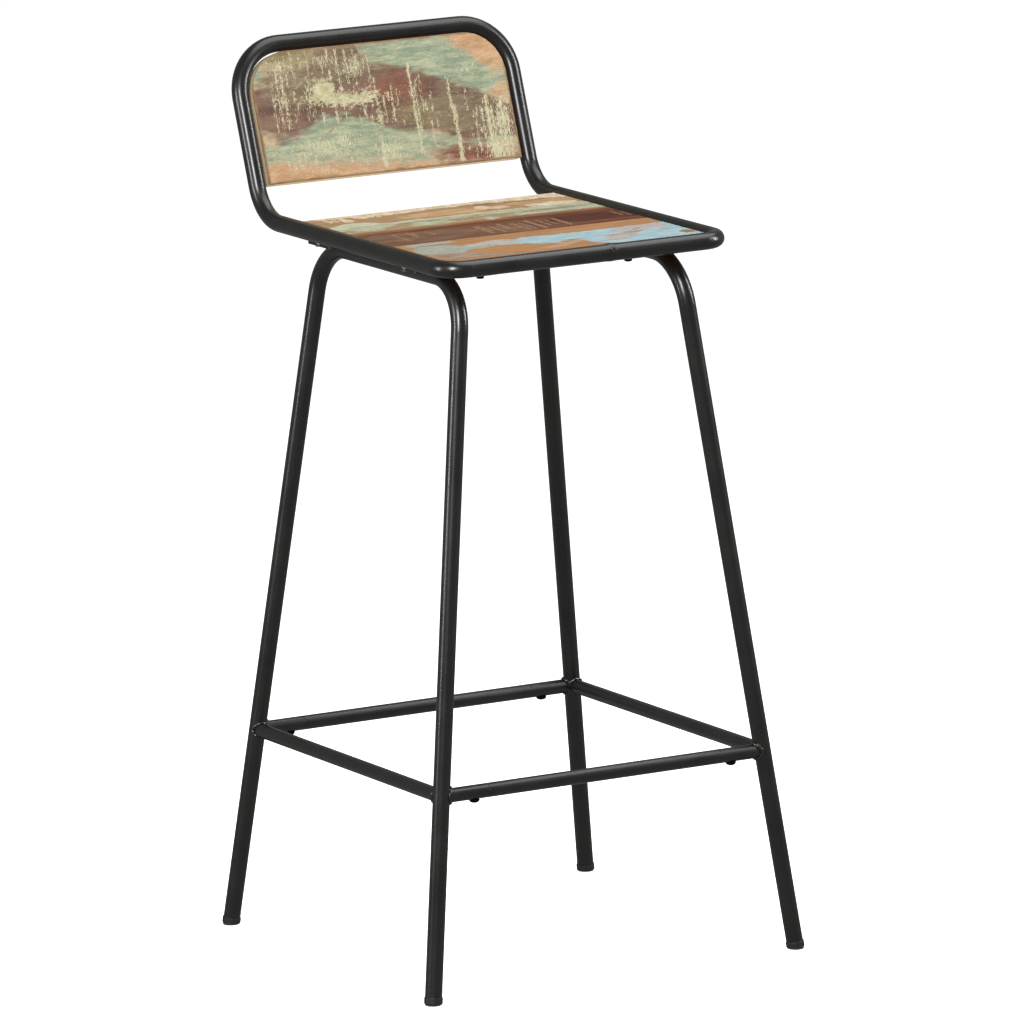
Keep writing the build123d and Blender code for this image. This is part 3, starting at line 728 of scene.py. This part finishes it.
BEAD_MM = 2.0
bead_lap = 0.6 * MM
plate_crevice = 5.4 * MM  # from the top bar's centreline out to the bead beside it
plate_bead_end = 7 * MM  # bare length at each end of a plate's bead
plate_bead_drop = 1.0 * MM
tab_bead_rise = 0.5 * MM
leg_lines = []
for mount, foot in mounts.items():
    inward_x, inward_y = (-math.copysign(1, c) for c in (foot.x, foot.y))
    leg_lines.append((weld_ring(foot, (inward_x, 0, 0), bead_lap), True))
    leg_lines.append((weld_ring(foot, (0, inward_y, 0), bead_lap), True))
    plate_low, plate_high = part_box("mounting_plate_" + mount[5:])
    runs = np.linspace(plate_low.y + plate_bead_end, plate_high.y - plate_bead_end, 12)
    for way in (-1, 1):
        x = math.copysign(bar_x, foot.x) + way * plate_crevice
        leg_lines.append(([Vector((x, y, plate_low.z - plate_bead_drop)) for y in runs], False))
weld_finish = powder_coat("thick_powder_over_weld", 1.1, 0.12)
weld_finish.node_tree.nodes["Principled BSDF"].inputs["Coat Weight"].default_value = 0.25
leg_beads = grown(
    line_set("leg_frame_beads", leg_lines),
    bead_tree,
    {"Radius": BEAD_MM * MM, "Ripple": 0.9, "Seed": 3.0, "Finish": weld_finish},
)
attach(leg_beads, "root")
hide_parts("leg_frame_welds_left", "leg_frame_welds_right")

tab_lines = []
TAB_T = 3 * MM
for name in nodes:
    low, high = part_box(name)
    if name.startswith("seat_tab_front"):
        tab_lines.append(
            ([Vector((x, low.y, low.z + tab_bead_rise)) for x in np.linspace(low.x, high.x, 8)], False)
        )
    elif name.startswith("seat_tab_"):
        x = low.x if "left" in name else high.x
        tab_lines.append(
            ([Vector((x, y, low.z + tab_bead_rise)) for y in np.linspace(low.y, high.y, 8)], False)
        )
    elif name.startswith("back_tab_"):
        x = low.x if "left" in name else high.x
        top = Vector((x, high.y, high.z - TAB_T * math.sin(LEAN)))
        foot = Vector((x, high.y - (top.z - low.z) * math.tan(LEAN), low.z))
        tab_lines.append(([foot.lerp(top, t) for t in np.linspace(0, 1, 8)], False))
tab_beads = grown(
    line_set("tab_beads", tab_lines),
    bead_tree,
    {"Radius": 1.2 * MM, "Ripple": 0.8, "Seed": 8.0, "Finish": weld_finish},
)
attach(tab_beads, "root")
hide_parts("seat_frame_welds")

# The loop is closed by one butt weld in its front run, ground nearly flush before coating.
front_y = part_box("seat_and_back_tube")[0].y + tube_r
front_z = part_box("seat_and_back_tube")[0].z + tube_r
SEAM_X, SEAM_HALF, SEAM_RISE = 28 * MM, 9 * MM, 0.7 * MM
across = np.linspace(-1, 1, 25)
turns = np.linspace(0, 2 * math.pi, 73)[:-1]
t, a = np.meshgrid(across, turns, indexing="ij")
uneven = 0.75 + 0.5 * mottle(np.sin(a) * 9, t * 9 + np.cos(a) * 9, 4, 3, 71)
lift = SEAM_RISE * np.exp(-((t / 0.45) ** 2)) * uneven
lift[0], lift[-1] = -0.1 * MM, -0.1 * MM
radius = tube_r + 0.01 * MM + lift
ring_points = np.stack(
    [SEAM_X + t * SEAM_HALF, front_y + radius * np.cos(a), front_z + radius * np.sin(a)], -1
)
ring_at = np.arange(t.size).reshape(t.shape)
beyond = np.roll(ring_at, -1, axis=1)
ring_faces = np.stack([ring_at[:-1], ring_at[1:], beyond[1:], beyond[:-1]], -1).reshape(-1, 4)
seam_mesh = bpy.data.meshes.new("ground_seam")
seam_mesh.from_pydata(
    ring_points.reshape(-1, 3).tolist(), [],
    ring_faces.tolist() + [ring_at[0][::-1].tolist(), ring_at[-1].tolist()]
)
seam_mesh.polygons.foreach_set("use_smooth", np.ones(len(seam_mesh.polygons), bool))
seam_mesh.materials.append(satin_black)
ground_seam = linked("ground_seam", seam_mesh)
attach(ground_seam, "root")
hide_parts("seat_frame_welds")

# ---- Screws and bolts ----
# M6 button-head bolts hold the loose rails, M5 countersunk screws hold the leg frames,
# and short wood screws through the tabs hold the back board and all planks but the mint one.


def ring_radius(shape, radius, turn):
    """Radius at a turn of a round, hexagonal or cross-shaped ring."""
    if shape == "hex":
        return radius / math.cos((turn + math.pi / 6) % (math.pi / 3) - math.pi / 6)
    if shape == "cross":
        return radius * (0.38 + 0.62 * abs(math.cos(2 * turn)) ** 6)
    return radius


def turned_piece(name, rings, sides=48):
    """Closed mesh from rings of (shape, radius, height) in mm, from the shank's tip up to the recess."""
    points = [(0, 0, rings[0][2] * MM)]
    for shape, radius, height in rings:
        for k in range(sides):
            turn = 2 * math.pi * k / sides
            r = ring_radius(shape, radius, turn) * MM
            points.append((r * math.cos(turn), r * math.sin(turn), height * MM))
    points.append((0, 0, rings[-1][2] * MM))
    faces = [(0, 1 + (k + 1) % sides, 1 + k) for k in range(sides)]
    for row in range(len(rings) - 1):
        a, b = 1 + row * sides, 1 + (row + 1) * sides
        faces += [(a + k, a + (k + 1) % sides, b + (k + 1) % sides, b + k) for k in range(sides)]
    top = 1 + (len(rings) - 1) * sides
    faces += [(top + k, top + (k + 1) % sides, len(points) - 1) for k in range(sides)]
    mesh = bpy.data.meshes.new(name)
    mesh.from_pydata(points, [], faces)
    return linked(name, mesh)


screw_tree, given, kept = new_tree(
    "set_screws", [("Screw", "Object"), ("Turn seed", "Int"), ("Finish", "Material")]
)
facing = add(screw_tree, "GeometryNodeInputNamedAttribute", {"Name": "facing"}, data_type="FLOAT_VECTOR")
aim = add(screw_tree, "FunctionNodeAlignRotationToVector", {"Vector": facing.outputs[0]}, axis="Z")
spin = add(screw_tree, "FunctionNodeRandomValue", {"Seed": given["Turn seed"]}, data_type="FLOAT")
turn = add(screw_tree, "ShaderNodeMath", {0: spin.outputs[1], 1: 2 * math.pi}, operation="MULTIPLY")
roll_by = add(screw_tree, "FunctionNodeAxisAngleToRotation", {"Axis": (0, 0, 1), "Angle": turn.outputs[0]})
stand = add(
    screw_tree,
    "FunctionNodeRotateRotation",
    {0: aim.outputs[0], 1: roll_by.outputs[0]},
    rotation_space="LOCAL",
)
source = add(screw_tree, "GeometryNodeObjectInfo", {"Object": given["Screw"]})
set_out = add(
    screw_tree,
    "GeometryNodeInstanceOnPoints",
    {"Points": given["Geometry"], "Instance": source.outputs["Geometry"], "Rotation": stand.outputs[0]},
)
whole = add(screw_tree, "GeometryNodeRealizeInstances", {0: set_out.outputs[0]})
whole = add(
    screw_tree, "GeometryNodeSetMaterial", {"Geometry": whole.outputs[0], "Material": given["Finish"]}
)
screw_tree.links.new(whole.outputs[0], kept["Geometry"])


def metal(name, light, dark, rough_low, rough_high, metallic=1.0, grain_mm=0.8):
    """Plated or blackened steel with a fine mottled finish."""
    material, tree, shader = new_material(name)
    place = add(tree, "ShaderNodeTexCoord").outputs["Object"]
    grain = add(
        tree, "ShaderNodeTexNoise", {"Vector": place, "Scale": 1 / (grain_mm * MM), "Detail": 3.0}
    ).outputs[0]
    tint = add(tree, "ShaderNodeMix", {0: grain, 6: linear(dark), 7: linear(light)}, data_type="RGBA")
    rough = add(tree, "ShaderNodeMapRange", {"Value": grain, "To Min": rough_low, "To Max": rough_high})
    bump = add(tree, "ShaderNodeBump", {"Height": grain, "Strength": 0.3, "Distance": 0.05 * MM})
    tree.links.new(tint.outputs[2], shader.inputs["Base Color"])
    tree.links.new(rough.outputs["Result"], shader.inputs["Roughness"])
    tree.links.new(bump.outputs["Normal"], shader.inputs["Normal"])
    shader.inputs["Metallic"].default_value = metallic
    return material


# Blackened steel shows as a dull dark grey, zinc plate as a pale cool sheen, and turned bare
# steel as a plain mid grey with soft highlights.
black_steel = metal("black_oxide_steel", "#2c2b2a", "#191817", 0.3, 0.45)
zinc_steel = metal("bright_zinc_plated_steel", "#b9bab6", "#8d8f8c", 0.25, 0.42)
bare_steel = metal("turned_steel", "#9a9995", "#7a7976", 0.3, 0.45)


def fasten(name, master, places, faces, finish, node_name, seed):
    """Copies of one screw at places, each head facing its own way."""
    mesh = bpy.data.meshes.new(name)
    mesh.from_pydata([tuple(p) for p in places], [], [])
    way = mesh.attributes.new("facing", "FLOAT_VECTOR", "POINT")
    way.data.foreach_set("vector", np.array([tuple(f) for f in faces], np.float32).ravel())
    made = linked(name, mesh)
    grown(made, screw_tree, {"Screw": master, "Turn seed": seed, "Finish": finish})
    bpy.data.objects.remove(master)
    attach(made, "root")
    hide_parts(node_name)
    return made


DOWN = Vector((0, 0, -1))
bolt_low, bolt_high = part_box("footrest_bolts")
BOLT_R = 6 * MM
button = turned_piece(
    "button_head_bolt",
    [("round", 2.6, -10), ("round", 3, -9.4), ("round", 3, -0.05), ("round", 5.7, -0.02), ("round", 6, 0.25),
     ("round", 5.95, 0.9), ("round", 5.6, 1.7), ("round", 4.9, 2.6), ("round", 4.0, 3.25),
     ("round", 3.1, 3.55),
     ("round", 2.6, 3.6), ("hex", 2.05, 3.55), ("hex", 2.0, 3.4), ("hex", 2.0, 1.6), ("hex", 0.6, 1.3)],
)
bolt_places = [
    Vector((x, y, rest_low.z))
    for x in (bolt_low.x + BOLT_R, bolt_high.x - BOLT_R)
    for y in (bolt_low.y + BOLT_R, bolt_high.y - BOLT_R)
]
fasten("button_bolts", button, bolt_places, [DOWN] * 4, black_steel, "footrest_bolts", 1)

sunk_low, sunk_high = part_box("seat_frame_screws")
SUNK_R = 4.7 * MM
sunk = turned_piece(
    "countersunk_screw",
    [("round", 2.1, -12), ("round", 2.5, -11.6), ("round", 2.5, -2.3), ("round", 4.55, -0.25),
     ("round", 4.7, -0.02),
     ("round", 4.5, 0), ("hex", 1.6, 0), ("hex", 1.5, -0.12), ("hex", 1.5, -1.2), ("hex", 0.4, -1.4)],
)
sunk_places = [
    Vector((x, y, sunk_low.z))
    for x in (sunk_low.x + SUNK_R, sunk_high.x - SUNK_R)
    for y in (sunk_low.y + SUNK_R, sunk_high.y - SUNK_R)
]
fasten("plate_screws", sunk, sunk_places, [DOWN] * 4, zinc_steel, "seat_frame_screws", 2)

hex_screw = turned_piece(
    "hexagon_wood_screw",
    [("round", 0.4, -12), ("round", 1.9, -9.6), ("round", 2, -9), ("round", 2, -0.05), ("hex", 3.9, -0.02),
     ("hex", 4, 0.2), ("hex", 4, 4.6), ("round", 3.95, 5.2), ("round", 3.5, 5.5), ("round", 1.5, 5.35)],
)
TAB_HOLE = 12 * MM  # from a tab's free end
hex_places = []
for name in sorted(nodes):
    low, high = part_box(name)
    mid = (low + high) / 2
    if name.startswith("seat_tab_front"):
        hex_places.append(Vector((mid.x, high.y - TAB_HOLE, low.z)))
    elif name.startswith("seat_tab_"):
        x = high.x - TAB_HOLE if "left" in name else low.x + TAB_HOLE
        hex_places.append(Vector((x, mid.y, low.z)))
fasten(
    "plank_screws", hex_screw, hex_places, [DOWN] * len(hex_places), black_steel, "seat_screws",
    3
)

pan = turned_piece(
    "pan_head_screw",
    [("round", 0.4, -14), ("round", 1.9, -11.5), ("round", 2, -11), ("round", 2, -0.05),
     ("round", 4.0, -0.02),
     ("round", 4.2, 0.3), ("round", 4.15, 1.2), ("round", 3.6, 2.1), ("round", 2.9, 2.6),
     ("cross", 2.4, 2.62), ("cross", 2.1, 2.3), ("cross", 1.2, 0.6)],
)
back_off = Vector((0, math.cos(LEAN), -math.sin(LEAN)))
pan_places = []
for name in sorted(nodes):
    if name.startswith("back_tab_"):
        low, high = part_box(name)
        x = high.x - TAB_HOLE if "left" in name else low.x + TAB_HOLE
        top = Vector((x, high.y, high.z - TAB_T * math.sin(LEAN)))
        foot = Vector((x, high.y - (top.z - low.z) * math.tan(LEAN), low.z))
        pan_places.append((foot + top) / 2)
fasten("board_screws", pan, pan_places, [back_off] * 4, zinc_steel, "back_screws", 4)
coat("seat_frame_inserts", zinc_steel)
for node_name in nodes:
    if node_name.startswith("footrest_spigot"):
        coat(node_name, bare_steel)

# ---- Foot caps ----
# Black polyethylene plugs, moulded, pushed into the tube ends; each head is cut at the
# leg's slope so that it stands flat, and its lower edge is scuffed from the floor.
scuffed, scuff_tree, scuff_shader = new_material("moulded_black_polyethylene")
scuff_place = add(scuff_tree, "ShaderNodeTexCoord").outputs["Object"]
scuff_height = add(scuff_tree, "ShaderNodeSeparateXYZ", {0: scuff_place}).outputs["Z"]
scuff_noise = add(
    scuff_tree, "ShaderNodeTexNoise", {"Vector": scuff_place, "Scale": 1 / (1.5 * MM), "Detail": 4.0}
)
scuff_near = add(
    scuff_tree, "ShaderNodeMapRange", {"Value": scuff_height, "From Min": 3.5 * MM, "From Max": 0.0}
).outputs["Result"]
scuff_mask = add(
    scuff_tree, "ShaderNodeMath", {0: scuff_near, 1: scuff_noise.outputs[0]}, operation="MULTIPLY"
).outputs[0]
scuff_mask = add(
    scuff_tree,
    "ShaderNodeMapRange",
    {"Value": scuff_mask, "From Min": 0.2, "From Max": 0.6},
    interpolation_type="SMOOTHSTEP",
).outputs["Result"]
scuff_tint = add(
    scuff_tree,
    "ShaderNodeMix",
    {0: scuff_mask, 6: linear("#141413"), 7: linear("#4a4844")},
    data_type="RGBA",
)
scuff_grain = add(scuff_tree, "ShaderNodeTexNoise", {"Vector": scuff_place, "Scale": 1 / (0.5 * MM)})
scuff_bump = add(
    scuff_tree, "ShaderNodeBump", {"Height": scuff_grain.outputs[0], "Strength": 0.4, "Distance": 0.08 * MM}
)
scuff_tree.links.new(scuff_tint.outputs[2], scuff_shader.inputs["Base Color"])
scuff_tree.links.new(scuff_bump.outputs["Normal"], scuff_shader.inputs["Normal"])
scuff_shader.inputs["Roughness"].default_value = 0.5
scuff_shader.inputs["Specular IOR Level"].default_value = 0.3

HEAD_R, HEAD_TOP, LIP = 10.3, 8.5, 0.7
PLUG_R, PLUG_L = 8.0, 16.0
for mount, foot in mounts.items():
    start, up = leg_line(foot)
    cap = turned_piece(
        "foot_" + mount[5:],
        [("round", HEAD_R - 2.4, -HEAD_TOP), ("round", HEAD_R - 2, -HEAD_TOP),
         ("round", HEAD_R, -HEAD_TOP + 2),
         ("round", HEAD_R, 2.2), ("round", HEAD_R - 0.12, 2.6), ("round", HEAD_R - 0.12, 3.0),
         ("round", HEAD_R, 3.4), ("round", HEAD_R, HEAD_TOP - LIP), ("round", HEAD_R - 0.2, HEAD_TOP - 0.2),
         ("round", HEAD_R - LIP, HEAD_TOP),
         ("round", PLUG_R, HEAD_TOP), ("round", PLUG_R, HEAD_TOP + PLUG_L - 1.5),
         ("round", PLUG_R - 0.8, HEAD_TOP + PLUG_L)],
    )
    lean_to = up.to_track_quat("Z", "Y").to_matrix().to_4x4()
    cap.data.transform(Matrix.Translation(start) @ lean_to)
    edge = 1.6 * MM
    for vertex in cap.data.vertices:
        if vertex.co.z < 0:
            vertex.co += up * (-vertex.co.z / up.z)
        if vertex.co.z < edge:
            away = (vertex.co - start).xy
            inset = edge - math.sqrt(max(edge**2 - (edge - vertex.co.z) ** 2, 0))
            if away.length > HEAD_R * MM - inset:
                away = away * ((HEAD_R * MM - inset) / away.length)
                vertex.co.x, vertex.co.y = start.x + away.x, start.y + away.y
    cap.data.materials.append(scuffed)
    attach(cap, "root")
    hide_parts("foot_cap_" + mount[5:])

# ---- Studio: floor, lights and camera ----
# A plain pale floor far larger than the stool, a soft light overhead, three upright
# soft strips round the stool, and a long lens that looks slightly down on the seat.
world = bpy.data.worlds.new("studio")
bpy.context.scene.world = world
world.use_nodes = True
world.node_tree.nodes["Background"].inputs["Color"].default_value = linear("#f4f4f2")
world.node_tree.nodes["Background"].inputs["Strength"].default_value = 0.3
bpy.context.scene.view_settings.view_transform = "Standard"

floor_half = 40.0
floor_mesh = bpy.data.meshes.new("studio_floor")
floor_corners = [(-1, -1, 0), (1, -1, 0), (1, 1, 0), (-1, 1, 0)]
floor_mesh.from_pydata([[floor_half * c for c in corner] for corner in floor_corners], [], [(0, 1, 2, 3)])
floor = linked("studio_floor", floor_mesh)
paper, paper_tree, paper_shader = new_material("studio_paper")
paper_place = add(paper_tree, "ShaderNodeTexCoord").outputs["Object"]
paper_noise = add(paper_tree, "ShaderNodeTexNoise", {"Vector": paper_place, "Scale": 3.0})
paper_colour = add(
    paper_tree,
    "ShaderNodeMix",
    {0: paper_noise.outputs["Fac"], 6: linear("#fbfbfa"), 7: linear("#ffffff")},
    data_type="RGBA",
)
paper_tree.links.new(paper_colour.outputs[2], paper_shader.inputs["Base Color"])
paper_shader.inputs["Roughness"].default_value = 0.9
paper_shader.inputs["Specular IOR Level"].default_value = 0.1
paper_shader.inputs["Emission Color"].default_value = linear("#ffffff")
paper_shader.inputs["Emission Strength"].default_value = 0.7
floor_mesh.materials.append(paper)
floor.visible_glossy = False  # the black tubes mirror the dim studio, as if cut off from their floor


def soft_light(name, place, aim, size_x, size_y, power):
    """Rectangular softbox pointed at a place."""
    lamp = bpy.data.lights.new(name, "AREA")
    lamp.shape = "RECTANGLE"
    lamp.size, lamp.size_y, lamp.energy = size_x, size_y, power
    box = linked(name, lamp)
    box.location = place
    box.rotation_euler = (Vector(aim) - Vector(place)).to_track_quat("-Z", "Y").to_euler()
    return box


middle = (0, 0, 0.6)
soft_light("overhead", (0.9, -0.2, 3.0), middle, 2.4, 2.2, 58)
soft_light("left_strip", (-2.7, 0.25, 1.2), (0, 0.2, 0.85), 0.3, 1.4, 40)
soft_light("left_front_strip", (-2.0, -2.0, 2.0), (0, 0, 0.85), 0.42, 1.3, 110)
soft_light("right_strip", (2.6, -1.5, 1.8), (0, 0, 0.85), 0.34, 1.5, 62)

yaw, pitch, roll = math.radians(30.266), math.radians(11.296), math.radians(-0.92)
forward = Vector((math.sin(yaw) * math.cos(pitch), math.cos(yaw) * math.cos(pitch), -math.sin(pitch)))
level = Vector((math.cos(yaw), -math.sin(yaw), 0))
upright = level.cross(forward)
camera_x = level * math.cos(roll) + upright * math.sin(roll)
camera_y = upright * math.cos(roll) - level * math.sin(roll)
lens = bpy.data.cameras.new("camera")
lens.sensor_width = 36.0
lens.lens = 368.65
lens.clip_end = 200.0
camera = linked("camera", lens)
camera_place = (-5.7024, -9.81731, 2.7427)
camera.matrix_world = Matrix.Translation(camera_place) @ Matrix(
    (camera_x, camera_y, -forward)
).transposed().to_4x4()
bpy.context.scene.camera = camera
